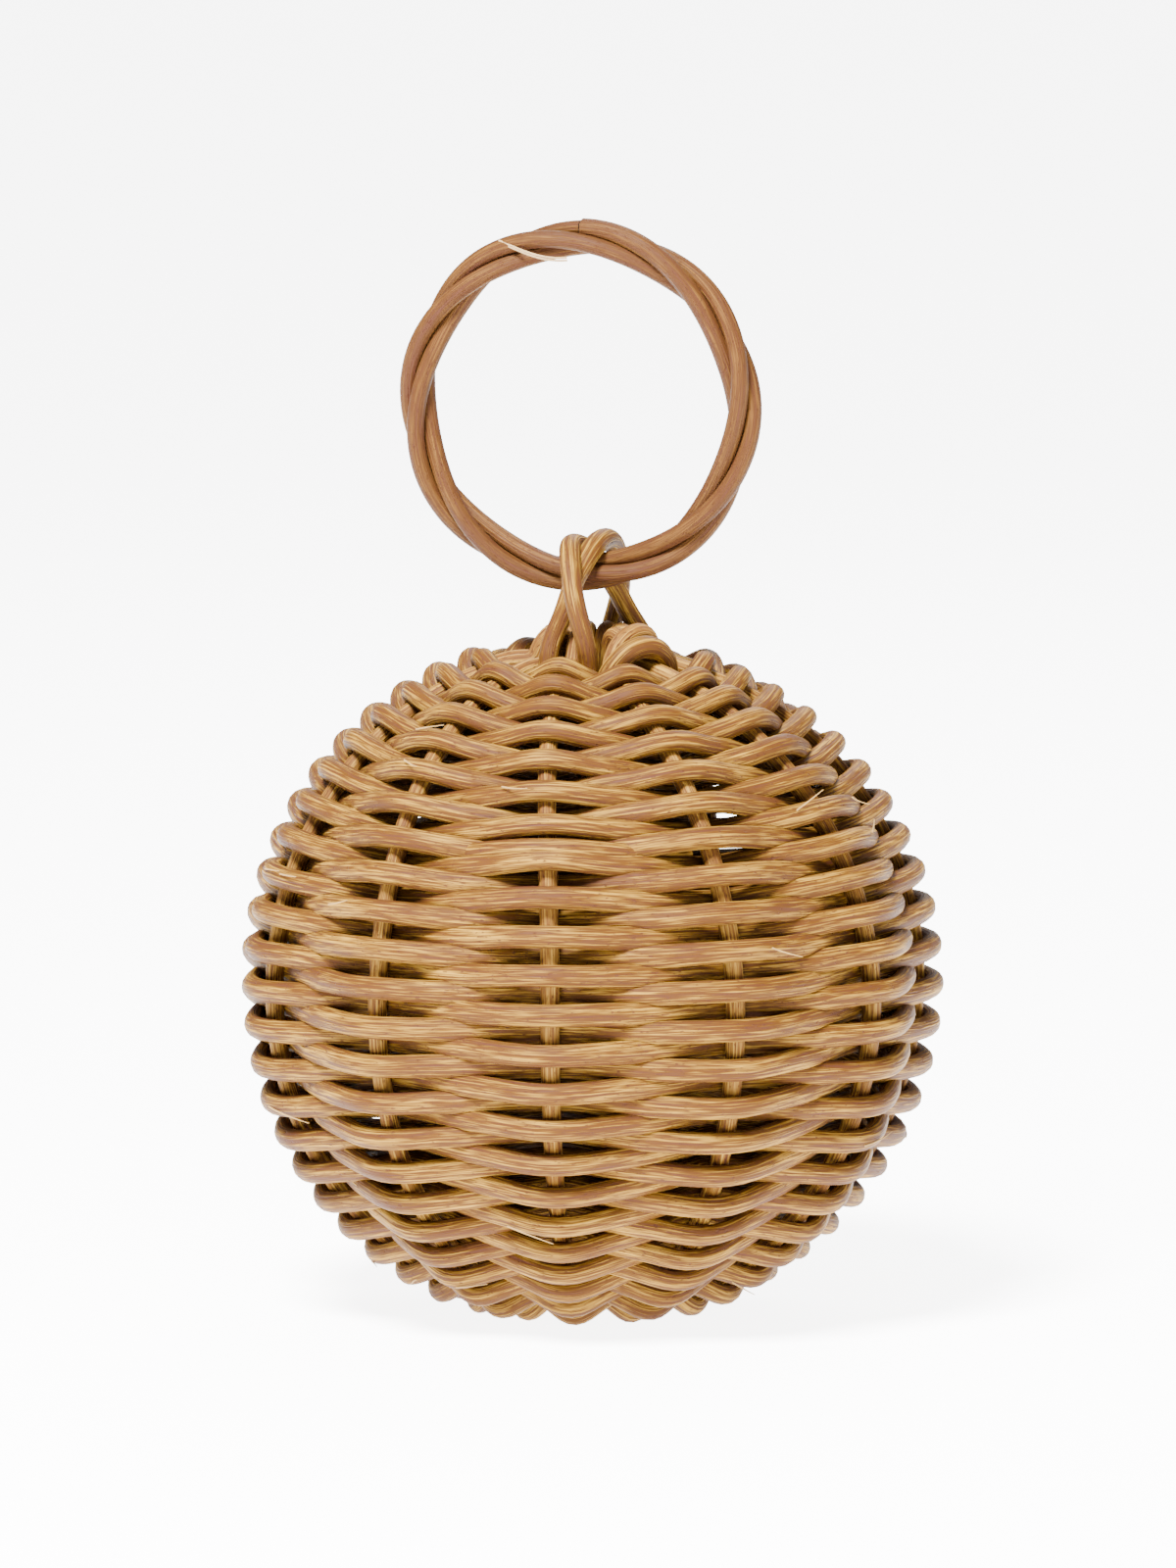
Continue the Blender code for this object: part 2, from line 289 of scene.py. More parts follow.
# %% Build the reed tree
def new_tree(name, sockets):
    """A Geometry Nodes group with a geometry in and out and named inputs."""
    tree = bpy.data.node_groups.new(name, "GeometryNodeTree")
    tree.interface.new_socket("Geometry", in_out="INPUT", socket_type="NodeSocketGeometry")
    tree.interface.new_socket("Geometry", in_out="OUTPUT", socket_type="NodeSocketGeometry")
    for label, kind, value in sockets:
        socket = tree.interface.new_socket(label, in_out="INPUT", socket_type=kind)
        if value is not None:
            socket.default_value = value
    wires = Wires(tree)
    entry = wires.node("NodeGroupInput")
    given = {label: Flow(wires, entry.outputs[label]) for label, kind, value in sockets}
    given["Geometry"] = Flow(wires, entry.outputs["Geometry"])
    return wires, given


def close_tree(wires, geometry):
    """Plug the finished geometry into the group's output."""
    wires.node("NodeGroupOutput", None, {"Geometry": geometry})


def noise(wires, place, scale, seed, detail=2.0):
    """Smooth noise from about -1 to 1."""
    settings = {"noise_dimensions": "4D"}
    inputs = {"Vector": place, "W": seed, "Scale": scale, "Detail": detail}
    return wires.add("ShaderNodeTexNoise", settings, inputs) * 2.0 - 1.0


def stored(wires, geometry, name, kind, value):
    """The geometry with a value written on its points."""
    inputs = {"Geometry": geometry, "Name": name, "Value": value}
    return wires.add("GeometryNodeStoreNamedAttribute", {"data_type": kind}, inputs)


def named(wires, name, kind):
    """The value that was stored under a name."""
    settings = {"data_type": kind}
    return wires.add("GeometryNodeInputNamedAttribute", settings, {"Name": name})


SWELLS_PER_METRE = 90.0
FLATS_PER_METRE = 25.0
FLATS_AROUND = 1.7
FLATS_SEED_STEP = 5.0
THIN_BELOW = 0.5
SWEEP_INPUTS = (
    ("Radius", "NodeSocketFloat", REED_DIAMETER / 2),
    ("Tallness", "NodeSocketFloat", 1.0),
    ("Swelling", "NodeSocketFloat", 0.06),
    ("Flats", "NodeSocketFloat", 0.00003),
    ("Sides", "NodeSocketInt", 16),
    ("Seed", "NodeSocketFloat", 0.0),
    ("Finish", "NodeSocketMaterial", None),
)


def sweep(wires, curve, given):
    """Nodes that turn a curve into a reed with its fibre attribute."""
    length = wires.add("GeometryNodeSplineParameter", output="Length")
    swell = noise(wires, wires.vector(0.0, 0.0, length), SWELLS_PER_METRE, given["Seed"])
    taper = wires.add("GeometryNodeInputRadius")
    radius = given["Radius"] * taper * (1.0 + given["Swelling"] * swell)
    curve = stored(wires, curve, "reed_length", "FLOAT", length)
    curve = stored(wires, curve, "reed_radius", "FLOAT", radius)
    circle = wires.add("GeometryNodeCurvePrimitiveCircle", None, {
        "Resolution": given["Sides"], "Radius": 1.0})
    place = wires.add("GeometryNodeInputPosition")
    circle = stored(wires, circle, "reed_section", "FLOAT_VECTOR", place)
    circle = wires.add("GeometryNodeTransform", None, {
        "Geometry": circle, "Scale": wires.vector(1.0, given["Tallness"], 1.0)})
    thick = named(wires, "reed_radius", "FLOAT")
    reed = wires.add("GeometryNodeCurveToMesh", None, {
        "Curve": curve, "Profile Curve": circle, "Scale": thick, "Fill Caps": True})
    around = named(wires, "reed_section", "FLOAT_VECTOR")
    split = wires.node("ShaderNodeSeparateXYZ", None, {"Vector": around})
    section_x, section_y = (Flow(wires, split.outputs[axis]) for axis in "XY")
    reached = named(wires, "reed_length", "FLOAT")
    fibre = wires.vector(section_x * thick, section_y * thick, reached)
    reed = stored(wires, reed, "fibre", "FLOAT_VECTOR", fibre)
    thin = limited(1.0 - thick / (given["Radius"] * THIN_BELOW))
    reed = stored(wires, reed, "thin", "FLOAT", thin)
    stretched = wires.vector(section_x, section_y, reached * FLATS_PER_METRE)
    relief = noise(wires, stretched, FLATS_AROUND, given["Seed"] + FLATS_SEED_STEP)
    normal = wires.add("GeometryNodeInputNormal")
    moved = wires.vector_maths("SCALE", {0: normal, "Scale": relief * given["Flats"]})
    reed = wires.add("GeometryNodeSetPosition", None, {"Geometry": reed, "Offset": moved})
    for name in ("reed_length", "reed_radius", "reed_section"):
        reed = wires.add("GeometryNodeRemoveAttribute", None, {"Geometry": reed, "Name": name})
    reed = wires.add("GeometryNodeSetShadeSmooth", None, {"Geometry": reed})
    reed = wires.add("GeometryNodeRealizeInstances", None, {"Geometry": reed})
    return wires.add("GeometryNodeSetMaterial", None, {
        "Geometry": reed, "Material": given["Finish"]})


def build_reed_tree():
    """The sweep alone, for a curve that is drawn in Python."""
    wires, given = new_tree("Reed", SWEEP_INPUTS)
    close_tree(wires, sweep(wires, given["Geometry"], given))
    return wires.tree


REED_TREE = build_reed_tree()
print("reed tree nodes", len(REED_TREE.nodes))

# %% [markdown]
# ## The weave as a rule
#
# Over one, under one with an odd number of stakes needs only a cosine: at every whole
# number the reed is fully outside or fully inside a stake, and after eleven stakes it
# arrives on the other side. A little of the third harmonic makes it bend more sharply
# over a stake and run straighter between two. A list of points could do the same, but
# there are over five hundred passes, and a rule lets each size be changed at once.
#
# A second tree turns a plain line into that spiral, with noise for the weaver's hand.
# The reed swings less towards the crown, where the stakes stand close. The curve's
# tilt keeps the tall side of the section along the wall. The tree's own geometry input
# takes more curves, for short extra lengths, and all are swept with the nodes above.

# %% Build the weave tree
SWING = 0.00222
SHARPNESS = 0.09
DRIFT_SCALE = 45.0
DRIFT_SHARE = 2.0
DRIFT_SEED_STEP = 11.0
WOBBLES_PER_PASS = 0.5
WOBBLE_SHARE = 0.5
WOBBLE_SEED_STEP = 17.0
SLACK_SCALE = 0.7
SLACK_SEED_STEP = 23.0
WEAVE_INPUTS = (
    ("First Pass", "NodeSocketFloat", 1.0),
    ("Last Pass", "NodeSocketFloat", 12.0),
    ("Points per Pass", "NodeSocketInt", 12),
    ("Swing", "NodeSocketFloat", SWING),
    ("Crown Calm", "NodeSocketFloat", 0.22),
    ("Slack", "NodeSocketFloat", 0.0002),
    ("Squeeze", "NodeSocketFloat", 0.20),
    ("Unevenness", "NodeSocketFloat", 0.0003),
)


def build_weave_tree():
    """Line to spiral: the points' index becomes the number of stakes passed."""
    wires, given = new_tree("Weave", WEAVE_INPUTS + SWEEP_INPUTS)
    passes = given["Last Pass"] - given["First Pass"]
    count = passes * given["Points per Pass"] + 1.0
    line = wires.add("GeometryNodeCurvePrimitiveLine")
    line = wires.add("GeometryNodeResampleCurve", None, {"Curve": line, "Count": count})
    index = wires.add("GeometryNodeInputIndex")
    number = given["First Pass"] + index / (count - 1.0) * passes
    along = along_of_pass(number)
    slope = wall_shape(along)[2]
    rough_place = wires.vector(*wall_place(number, along))
    own_place = wires.vector(number * WOBBLES_PER_PASS, 0.0, 0.0)
    drift = noise(wires, rough_place, DRIFT_SCALE, given["Seed"] + DRIFT_SEED_STEP)
    wobble = noise(wires, own_place, 1.0, given["Seed"] + WOBBLE_SEED_STEP)
    slack = noise(wires, own_place, SLACK_SCALE, given["Seed"] + SLACK_SEED_STEP)
    inward = (slack - 1.0) / 2.0
    bend = cosine(number * math.pi) + cosine(number * math.pi * 3.0) * SHARPNESS
    calm = 1.0 - crown_share(slope) * given["Crown Calm"]
    outward = bend * given["Swing"] * calm / (1.0 + SHARPNESS) + inward * given["Slack"]
    uphill = (drift * DRIFT_SHARE + wobble * WOBBLE_SHARE) * given["Unevenness"]
    place = wires.vector(*wall_place(number, along, outward, uphill))
    inside = 0.5 - cosine(number * math.pi) * 0.5
    squeezed = 1.0 + inside * given["Squeeze"]
    line = wires.add("GeometryNodeSetCurveRadius", None, {"Curve": line, "Radius": squeezed})
    spiral = wires.add("GeometryNodeSetPosition", None, {"Geometry": line, "Position": place})
    spiral = wires.add("GeometryNodeSetCurveNormal", {"mode": "Z_UP"}, {"Curve": spiral})
    tilt = math.pi / 2 - slope
    spiral = wires.add("GeometryNodeSetCurveTilt", None, {"Curve": spiral, "Tilt": tilt})
    joined = wires.node("GeometryNodeJoinGeometry")
    for curve in (spiral, given["Geometry"]):
        wires.tree.links.new(curve.socket, joined.inputs["Geometry"])
    close_tree(wires, sweep(wires, Flow(wires, joined.outputs["Geometry"]), given))
    return wires.tree


WEAVE_TREE = build_weave_tree()
print("weave tree nodes", len(WEAVE_TREE.nodes))

# %% [markdown]
# ## Rattan core reed
#
# Core reed is the peeled inside of the rattan palm: a warm tan, satin, with open fibre
# streaks that run along it and small dark pores. Object coordinates would lay the
# streaks straight through the whole ball. Noise that is read at the `fibre` attribute
# instead, many times a millimetre across the reed and seldom along it, gives streaks
# that bend with the reed. Streaks, bands and slow changes of tone add up to a shade,
# which picks a colour: its lower half blends dark into middle, and its upper half
# middle into pale.

# %% The grain's layers
# Changes per metre across and along the reed, the noise's detail and a step of the seed.
GRAIN = {
    "fine": (4800.0, 110.0, 1.0, 0.0),
    "thread": (8600.0, 330.0, 1.0, 19.0),
    "broad": (1700.0, 65.0, 1.0, 3.0),
    "slow": (120.0, 60.0, 2.0, 7.0),
    "pore": (4600.0, 1300.0, 1.0, 13.0),
}
FINE_SHARE = 0.68
THREAD_SHARE = 0.62
MIDDLE_SHADE = 0.53
STREAK_CONTRAST = 1.10
BAND_CONTRAST = 0.38
TONE_CONTRAST = 0.24
PORE_LEVEL = 0.28
PORE_EDGE = 7.0
PORE_DARKNESS = 0.75
LOOSE_PALENESS = 0.8
STREAK_RELIEF = 0.8
BAND_RELIEF = 0.6
PORE_RELIEF = 0.7
BUMP_STRENGTH = 0.8
BUMP_DISTANCE = 0.00012
STREAK_ROUGHNESS = 0.08
PORE_ROUGHNESS = 0.1
SPECULAR_LEVEL = 0.06
print("layers of grain", ", ".join(GRAIN))


# %% The reed's finish
def blend(wires, share, first, second):
    """A colour between two others, each a flow or three numbers.

    A Mix node has its sockets for every kind of data: 6 and 7 take the two colours,
    and output 2 gives the blend.
    """
    ends = [end if isinstance(end, Flow) else (*end, 1.0) for end in (first, second)]
    inputs = {"Factor": limited(share), 6: ends[0], 7: ends[1]}
    return wires.add("ShaderNodeMix", {"data_type": "RGBA"}, inputs, 2)


def reed_finish(name, pale, mid, dark, loose, seed, roughness):
    """Rattan with streaks, pores and slow changes of tone along the reed."""
    made = bpy.data.materials.new(name)
    made.use_nodes = True
    wires = Wires(made.node_tree)
    shader = made.node_tree.nodes["Principled BSDF"]
    fibre = wires.add("ShaderNodeAttribute", {"attribute_name": "fibre"}, None, "Vector")
    grain = {}
    for layer, (across, along, detail, step) in GRAIN.items():
        place = wires.vector_maths("MULTIPLY", {0: fibre, 1: (across, across, along)})
        grain[layer] = noise(wires, place, 1.0, seed + step, detail)
    streak = grain["fine"] * FINE_SHARE + grain["thread"] * THREAD_SHARE
    pore = limited((grain["pore"] - PORE_LEVEL) * PORE_EDGE)
    shade = MIDDLE_SHADE + streak * STREAK_CONTRAST
    shade = shade + grain["broad"] * BAND_CONTRAST + grain["slow"] * TONE_CONTRAST
    thin = wires.add("ShaderNodeAttribute", {"attribute_name": "thin"}, None, "Fac")
    colour = blend(wires, shade * 2.0, dark, mid)
    colour = blend(wires, shade * 2.0 - 1.0, colour, pale)
    colour = blend(wires, pore * PORE_DARKNESS, colour, dark)
    colour = blend(wires, thin * LOOSE_PALENESS, colour, loose)
    height = streak * STREAK_RELIEF + grain["broad"] * BAND_RELIEF - pore * PORE_RELIEF
    bump = wires.add("ShaderNodeBump", None, {
        "Strength": BUMP_STRENGTH, "Distance": BUMP_DISTANCE, "Height": height})
    rough = roughness + streak * STREAK_ROUGHNESS + pore * PORE_ROUGHNESS
    for flow, socket in ((colour, "Base Color"), (bump, "Normal"), (rough, "Roughness")):
        made.node_tree.links.new(flow.socket, shader.inputs[socket])
    shader.inputs["Specular IOR Level"].default_value = SPECULAR_LEVEL
    print(made.name, "nodes", len(made.node_tree.nodes))
    return made


# %% Finishes of the pieces
PALE = (0.240, 0.129, 0.0180)
MID = (0.058, 0.0218, 0.0026)
DARK = (0.046, 0.0150, 0.0080)
LOOSE = (0.34, 0.21, 0.075)
# The stakes' colours are a paler copy of the weaving reed's. This is a painted highlight, for the
# brighter light that the stakes catch between the rows.
STAKE_LIT_PALE = (0.290, 0.160, 0.0280)
STAKE_LIT_MID = (0.105, 0.0430, 0.0070)
RING_PALE = (0.088, 0.0385, 0.0085)
RING_MID = (0.042, 0.0155, 0.0040)
RING_LOOSE = (0.44, 0.30, 0.15)
WEAVING_FINISH = reed_finish("weaving_rattan", PALE, MID, DARK, LOOSE, 1.0, 0.54)
LIT_STAKE_FINISH = reed_finish("stake_rattan_painted_highlight", STAKE_LIT_PALE, STAKE_LIT_MID, DARK, LOOSE, 31.0, 0.58)
LOOP_FINISH = reed_finish("loop_rattan", PALE, MID, DARK, LOOSE, 61.0, 0.54)
RING_FINISH = reed_finish("ring_rattan", RING_PALE, RING_MID, DARK, RING_LOOSE, 91.0, 0.52)

# %% [markdown]
# ## From a tree to a piece
#
# A modifier's inputs are set by the socket's identifier. The evaluated result becomes
# a plain mesh, because a piece of the finished model should hold no live modifiers.
# Two helpers draw curves for the trees: one makes splines from lists of points, the
# other rounds a route that is given by a few points only.

# %% Run a tree
def grown(name, tree, settings, data=None):
    """A plain mesh object grown by a Geometry Nodes tree."""
    seedling = bpy.data.objects.new(name + "_path", data or bpy.data.meshes.new(name + "_path"))
    bpy.context.scene.collection.objects.link(seedling)
    modifier = seedling.modifiers.new("grow", "NODES")
    modifier.node_group = tree
    for item in tree.interface.items_tree:
        if item.in_out == "INPUT" and item.name in settings:
            modifier[item.identifier] = settings[item.name]
    bpy.context.view_layer.update()
    evaluated = seedling.evaluated_get(bpy.context.evaluated_depsgraph_get())
    mesh = bpy.data.meshes.new_from_object(evaluated)
    bpy.data.objects.remove(seedling, do_unlink=True)
    mesh.name = name
    made = bpy.data.objects.new(name, mesh)
    bpy.context.scene.collection.objects.link(made)
    print(name, "faces", len(mesh.polygons))
    return made


def path(name, *runs):
    """A curve with one spline for each run, which is a list of points and one of radii."""
    curve = bpy.data.curves.new(name, "CURVE")
    curve.dimensions = "3D"
    for points, radii in runs:
        spline = curve.splines.new("POLY")
        spline.points.add(len(points) - 1)
        for index, point in enumerate(points):
            spline.points[index].co = (*point, 1.0)
            spline.points[index].radius = radii[index]
    return curve


def at_polar(radius, azimuth, height):
    """A place at a radius from the ball's axis; azimuth 0 is the front."""
    return Vector((math.sin(azimuth) * radius, -math.cos(azimuth) * radius, height))


def smooth_through(points, radii, steps):
    """Catmull-Rom curve through points, with their radii blended along it."""
    places = [points[0], *points, points[-1]]
    sizes = [radii[0], *radii, radii[-1]]
    made, widths = [], []
    for index in range(1, len(places) - 2):
        a, b, c, d = places[index - 1:index + 3]
        for step in range(steps):
            t = step / steps
            made.append(0.5 * (2 * b + (c - a) * t + (2 * a - 5 * b + 4 * c - d) * t ** 2
                               + (3 * b - a - 3 * c + d) * t ** 3))
            widths.append(sizes[index] * (1 - t) + sizes[index + 1] * t)
    return made + [points[-1]], widths + [radii[-1]]


def settle(piece, slot, *nodes):
    """Tie a finished piece to the frame."""
    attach(piece, "root")
    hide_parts(*nodes)


print("front of the flat spot's rim", tuple(at_polar(FLAT_RADIUS, 0.0, 0.0)))

# %% [markdown]
# ## The weaving reed
#
# Three lengths of reed make the wall, and each new one starts beside the last. One such
# start shows on the upper half, where the new reed rides along with the old one for two
# stakes. The last end makes a small bow on the crown before it is tucked away. Both are
# short curves that join the spiral inside the tree, so that they get its section and
# its grain.
#
# Hand-split reed also sheds: here and there a hair-thin fibre stands off the surface.
# Blender's particle hair could make them, but an export drops it, so they are curves
# too. A seeded random generator places them, and each run gives the same ball.

# %% Where the lengths meet, and the last end
LAST_PASS = ROWS * STAKE_COUNT + 1
WEAVER_NODES = ("weaver_lower", "weaver_middle", "weaver_upper")
STAKE_PAIRS = (LAST_PASS - 1) / 2
LENGTH_PAIRS = STAKE_PAIRS / len(WEAVER_NODES)
LENGTH_CUTS = [1 + 2 * round(LENGTH_PAIRS * index) for index in range(len(WEAVER_NODES) + 1)]
print("the lengths meet at passes", LENGTH_CUTS)
CROWN_END = [Vector(place) * MM for place in (
    (2.2, -9.0, 72.6), (3.0, -9.0, 73.9), (4.4, -8.6, 75.3), (6.2, -7.6, 75.9),
    (7.8, -6.3, 75.4), (8.8, -5.0, 73.9), (9.0, -4.5, 72.0))]
CROWN_END_STEPS = 6
SPLICE_START = 350.6
SPLICE_PASSES = 2.3
SPLICE_STEPS = 28
SPLICE_SHIFT = 0.0014
SPLICE_WIDTH = 0.85
SPLICE_SWING = 0.97 * SWING


def splice():
    """A new length starts beside the old one and runs along with it for two stakes."""
    points = []
    for step in range(SPLICE_STEPS + 1):
        number = SPLICE_START + SPLICE_PASSES * step / SPLICE_STEPS
        outward = math.cos(number * math.pi) * SPLICE_SWING
        points.append(Vector(wall_place(number, along_of_pass(number), outward, SPLICE_SHIFT)))
    return points, [SPLICE_WIDTH] * len(points)


# %% Loose fibres
# Seed, number of fibres, and the first and last pass that they may stand on.
FIBRES = {
    "weaver_lower": (3, 8, 60, 168),
    "weaver_middle": (5, 14, 172, 330),
    "weaver_upper": (8, 9, 345, 480),
}
# Places and lengths are shares of a pass, and the taper is a share of the reed's radius.
FIBRE_PLACES = (-0.35, 0.25)
FIBRE_LENGTHS = (0.15, 0.35)
FIBRE_LIFTS = (0.3 * MM, 1.3 * MM)
FIBRE_CLIMB = 1.6 * MM
FIBRE_TAPER = (0.07, 0.07, 0.07, 0.06, 0.05, 0.04, 0.03)
FIBRE_ROOT = REED_DIAMETER * 0.46
FIBRE_LIMIT = 0.0385


def loose_fibres(seed, count, first, last):
    """Thin fibres that have come off the reed's outer side and stand up at one end."""
    dice = random.Random(seed)
    runs = []
    while len(runs) < count:
        number = 2 * round(dice.uniform(first, last) / 2) + dice.uniform(*FIBRE_PLACES)
        length = dice.uniform(*FIBRE_LENGTHS)
        lift = dice.uniform(*FIBRE_LIFTS)
        climb = dice.uniform(-FIBRE_CLIMB, FIBRE_CLIMB)
        points = []
        for step in range(len(FIBRE_TAPER)):
            part = step / (len(FIBRE_TAPER) - 1)
            there = number + length * part
            outward = math.cos(there * math.pi) * SWING + FIBRE_ROOT + lift * part ** 2
            points.append(Vector(wall_place(there, along_of_pass(number), outward, climb * part)))
        if all(abs(point.x) < FIBRE_LIMIT and abs(point.y) < FIBRE_LIMIT for point in points):
            runs.append((points, FIBRE_TAPER))
    return runs


EXTRA_RUNS = {node: loose_fibres(*fibres) for node, fibres in FIBRES.items()}
crown_bow = smooth_through(CROWN_END, [1.0] * len(CROWN_END), CROWN_END_STEPS)
EXTRA_RUNS["weaver_upper"][:0] = [crown_bow, splice()]
print("extra curves", {node: len(runs) for node, runs in EXTRA_RUNS.items()})

# %% Weave the wall
END_OVERLAP = 0.4
WEAVER_SIDES = 14
for node, start, end in zip(WEAVER_NODES, LENGTH_CUTS, LENGTH_CUTS[1:]):
    strand = grown(node.replace("weaver", "woven"), WEAVE_TREE, {
        "First Pass": start - END_OVERLAP,
        "Last Pass": end + END_OVERLAP,
        "Radius": REED_DIAMETER / 2,
        "Tallness": REED_TALLNESS,
        "Sides": WEAVER_SIDES,
        "Seed": 0.0,
        "Finish": WEAVING_FINISH,
    }, path(node + "_extra", *EXTRA_RUNS[node]))
    settle(strand, "weaving_reed", node)

# %% [markdown]
# ## The stakes
#
# The stakes show between the rows, under the base where they cross, and at the crown
# where their ends turn over like small arches and dive into the middle. One end does
# not fit in the middle: it makes a wider arch beside the loop. Eleven separate stakes
# would be simpler, but a basket maker crosses long rods, so each rod is one route from
# a crown end, down the wall, across the base and up to another crown end. The odd
# stake is a half rod.

# %% Route of a stake
ROD_SPACING = 0.0022
CROSS_REACH = 0.0036
HALF_ROD_REACH = 0.0048
FAN_RADIUS = 0.0080
CROWN_POST_RADIUS = 0.0052
CROWN_HOLE_RADIUS = 0.0030
CROWN_POST_RISE = 0.0026
CROWN_TUCK_DEPTH = 0.0035
DIVING_WIDTH = 0.85
TUCKED_WIDTH = 0.6
WALL_STEPS = 40
CROWN_HEIGHT = wall_shape(along_at_crown(CROWN_POST_RADIUS))[1]
ARCHED_STAKE = 1
ARCHED_END = [Vector(place) * MM for place in (
    (2.7, -7.9, 74.4), (3.5, -7.1, 76.1), (5.0, -5.9, 77.2), (6.4, -4.4, 76.9),
    (7.1, -3.4, 75.2), (7.2, -3.1, 72.0))]


def stake_run(number):
    """A stake from the base's fan up the wall to its tucked end, and its radii."""
    last_slope = wall_shape(along_at_crown(LAST_ROW_RADIUS - REED_DIAMETER))[2]
    points = [Vector(wall_place(number, FAN_RADIUS))]
    for index in range(WALL_STEPS + 1):
        along = along_at_slope(last_slope * index / WALL_STEPS)
        points.append(Vector(wall_place(number, along)))
    azimuth = stake_azimuth(number, CROWN_ANGLE)
    middle = (CROWN_POST_RADIUS + CROWN_HOLE_RADIUS) / 2
    bend = (CROWN_POST_RADIUS - CROWN_HOLE_RADIUS) / 2
    top = CROWN_HEIGHT + CROWN_POST_RISE
    crown = (
        (CROWN_POST_RADIUS + bend, (points[-1].z + CROWN_HEIGHT) / 2, 1.0),
        (CROWN_POST_RADIUS, top - bend, 1.0),
        (middle, top, 1.0),
        (CROWN_HOLE_RADIUS, top - bend, DIVING_WIDTH),
        (CROWN_HOLE_RADIUS - bend / 2, CROWN_HEIGHT - CROWN_TUCK_DEPTH, TUCKED_WIDTH),
    )
    ends = [at_polar(radius, azimuth, height) for radius, height, width in crown]
    widths = [width for radius, height, width in crown]
    if number == ARCHED_STAKE:
        ends = ARCHED_END
        widths = [1.0] * len(ends)
    return points + ends, [1.0] * len(points) + widths


print("height of the wall at the crown's posts in mm", round(CROWN_HEIGHT / MM, 1))

# %% Bend the rods
STAKE_SIDES = 12
STAKE_SEED = 100.0
STAKE_BEND_STEPS = 3
# A rod's direction, its place in the cross, and the stakes at its far and near ends.
ROD_ENDS = (
    ("x", 1, 4, 7),
    ("x", 0, 3, 8),
    ("x", -1, 2, 9),
    ("y", 1, 5, 1),
    ("y", -1, 6, 10),
    ("y", 0, None, 0),
)
for count, (direction, place, far_stake, near_stake) in enumerate(ROD_ENDS, start=1):
    side = place * ROD_SPACING
    lift = -ROD_SPACING / 2 if direction == "x" else ROD_SPACING / 2
    points, widths = stake_run(near_stake)
    points, widths = points[::-1], widths[::-1]
    for reach in (-CROSS_REACH, 0.0, HALF_ROD_REACH if far_stake is None else CROSS_REACH):
        flat = (reach, side) if direction == "x" else (side, reach)
        points.append(Vector((*flat, BASE_HEIGHT + lift)))
        widths.append(1.0)
    if far_stake is not None:
        far_points, far_widths = stake_run(far_stake)
        points += far_points
        widths += far_widths
    rod = grown(f"stake_{count}", REED_TREE, {
        "Radius": STAKE_DIAMETER / 2,
        "Sides": STAKE_SIDES,
        "Seed": STAKE_SEED + count,
        "Finish": LIT_STAKE_FINISH,
    }, path(f"stake_{count}_line", smooth_through(points, widths, STAKE_BEND_STEPS)))
    settle(rod, "stake_reed", f"stake_rod_{count}")

# %% [markdown]
# ## The ring
#
# One reed is wound three times round itself. Three separate hoops would never twist
# into each other, so its path is a knot on a ring: while it goes round three times it
# also turns eight times about the ring's own middle line. The reed starts with a blunt
# cut end at the top, a little thicker than the rest, and its other end lies close
# behind it. Two pale fibres lie across the plies there.

# %% Path of the ring
RING_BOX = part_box("hanging_ring")
RING_WIDTH = 0.0420
RING_REED = 0.0020
RING_PLIES = 3
RING_TWISTS = 8
RING_TURNED = math.radians(14.6)
RING_FIRST_PLY = math.radians(6.1)
RING_CENTRE = Vector([(low + high) / 2 for low, high in zip(*RING_BOX)])
RING_CENTRE.z = RING_BOX[1][2] - RING_WIDTH / 2
REED_GAP = 0.00005
RING_MARGIN = 0.0001
RING_PLY_OFFSET = (RING_REED + REED_GAP) / math.sqrt(3)
RING_RADIUS = RING_WIDTH / 2 - RING_PLY_OFFSET - RING_REED / 2 - RING_MARGIN
RING_POINTS = 480
RING_END_GAP = 0.0002
RING_CUT = 0.015
CUT_END_SWELL = 0.13
CUT_END_POINTS = 36
LAST_END_TAPER = 0.10
LAST_END_POINTS = 24
sideways = Vector((math.cos(RING_TURNED), -math.sin(RING_TURNED), 0.0))
upward = Vector((0.0, 0.0, 1.0))
facing = sideways.cross(upward)


def ring_place(turned, reach, forward):
    """A place at an angle from the ring's top, a reach from its centre and in front of it."""
    outward = sideways * math.sin(turned) + upward * math.cos(turned)
    return RING_CENTRE + outward * reach + facing * forward


def ring_run():
    """The wound reed, with its thicker cut end and its thinner last end."""
    points = []
    radii = []
    full_turn = 2 * math.pi * RING_PLIES - RING_END_GAP / RING_RADIUS
    for index in range(RING_POINTS + 1):
        turned = full_turn * index / RING_POINTS + RING_CUT
        twist = RING_TWISTS / RING_PLIES * (turned - RING_FIRST_PLY)
        reach = RING_RADIUS + RING_PLY_OFFSET * math.cos(twist)
        points.append(ring_place(turned, reach, RING_PLY_OFFSET * math.sin(twist)))
        swell = CUT_END_SWELL * max(0.0, 1.0 - index / CUT_END_POINTS)
        left = RING_POINTS - index
        taper = LAST_END_TAPER * max(0.0, 1.0 - left / LAST_END_POINTS)
        radii.append(1.0 + swell - taper)
    return points, radii


print("middle line of the ring across in mm", round(2 * RING_RADIUS / MM, 1))

# %% Wind the ring
PALE_FIBRE_TURN = (math.radians(-26.0), math.radians(-4.0))
PALE_FIBRE_DEPTHS = (0.0005, 0.0043)
PALE_FIBRE_SHIFTS = (0.0, 0.0003)
PALE_FIBRE_SLANT = 6.0
PALE_FIBRE_FRONT = 0.0013
PALE_FIBRE_BULGE = 0.0011
PALE_FIBRE_WIDTH = 0.11
PALE_FIBRE_STEPS = 12


